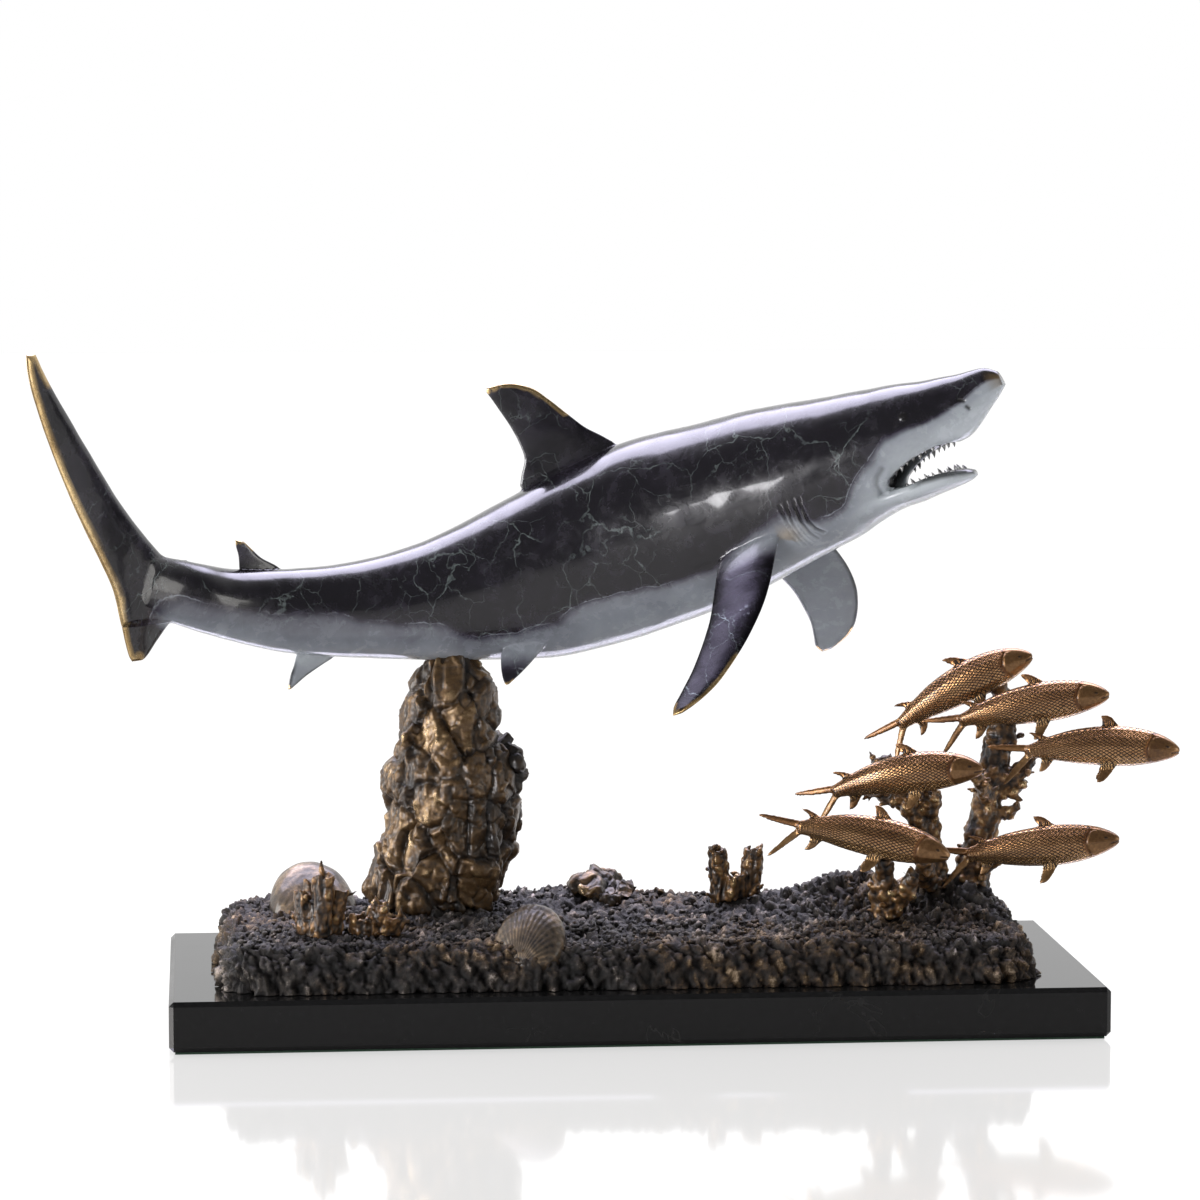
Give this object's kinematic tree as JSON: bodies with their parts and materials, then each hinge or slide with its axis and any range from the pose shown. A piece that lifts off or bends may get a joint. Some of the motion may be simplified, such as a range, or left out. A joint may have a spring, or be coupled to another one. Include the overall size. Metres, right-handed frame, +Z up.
{
  "type": "shark figurine",
  "caption": "Bronze shark with open toothed jaws balanced on a rock column, above small fish on coral, sponges and shells, on a polished marble plinth.",
  "frame": {"origin": "centre of the felt sheet's underside, which is the face the sculpture stands on", "axes": "+X along the plinth towards the shark's snout, +Y away from the viewer, +Z up"},
  "size_m": [0.5884, 0.2163, 0.3452],
  "materials": {
    "felt": "matt dark green felt",
    "marble": "polished black marble",
    "fixing_steel": "zinc plated steel",
    "bed_bronze": "cast bronze, dark grey-brown patina, waxed",
    "rock_bronze": "cast bronze, golden brown patina, waxed",
    "shark_bronze": "cast bronze, blue-black patina fading to pale grey below, waxed to a gloss",
    "fish_bronze": "cast bronze, copper brown patina with rubbed scales",
    "shell_bronze": "cast bronze, warm brown patina"
  },
  "bodies": {
    "root": {"felt_base": "felt", "plinth": "marble", "washer_left": "fixing_steel", "washer_right": "fixing_steel", "fixing_bolt_left": "fixing_steel", "fixing_bolt_right": "fixing_steel", "seabed": "bed_bronze", "rock_pillar": "rock_bronze", "shark": "shark_bronze", "fish_1": "fish_bronze", "fish_2": "fish_bronze", "fish_3": "fish_bronze", "fish_4": "fish_bronze", "fish_5": "fish_bronze", "fish_6": "fish_bronze", "coral_tall": "rock_bronze", "coral_short": "rock_bronze", "coral_low": "rock_bronze", "tube_sponge_left": "rock_bronze", "tube_sponge_middle": "rock_bronze", "sponge_knob": "rock_bronze", "shell_front": "shell_bronze", "shell_rear": "shell_bronze", "rear_stone": "rock_bronze"}
  },
  "joints": []
}
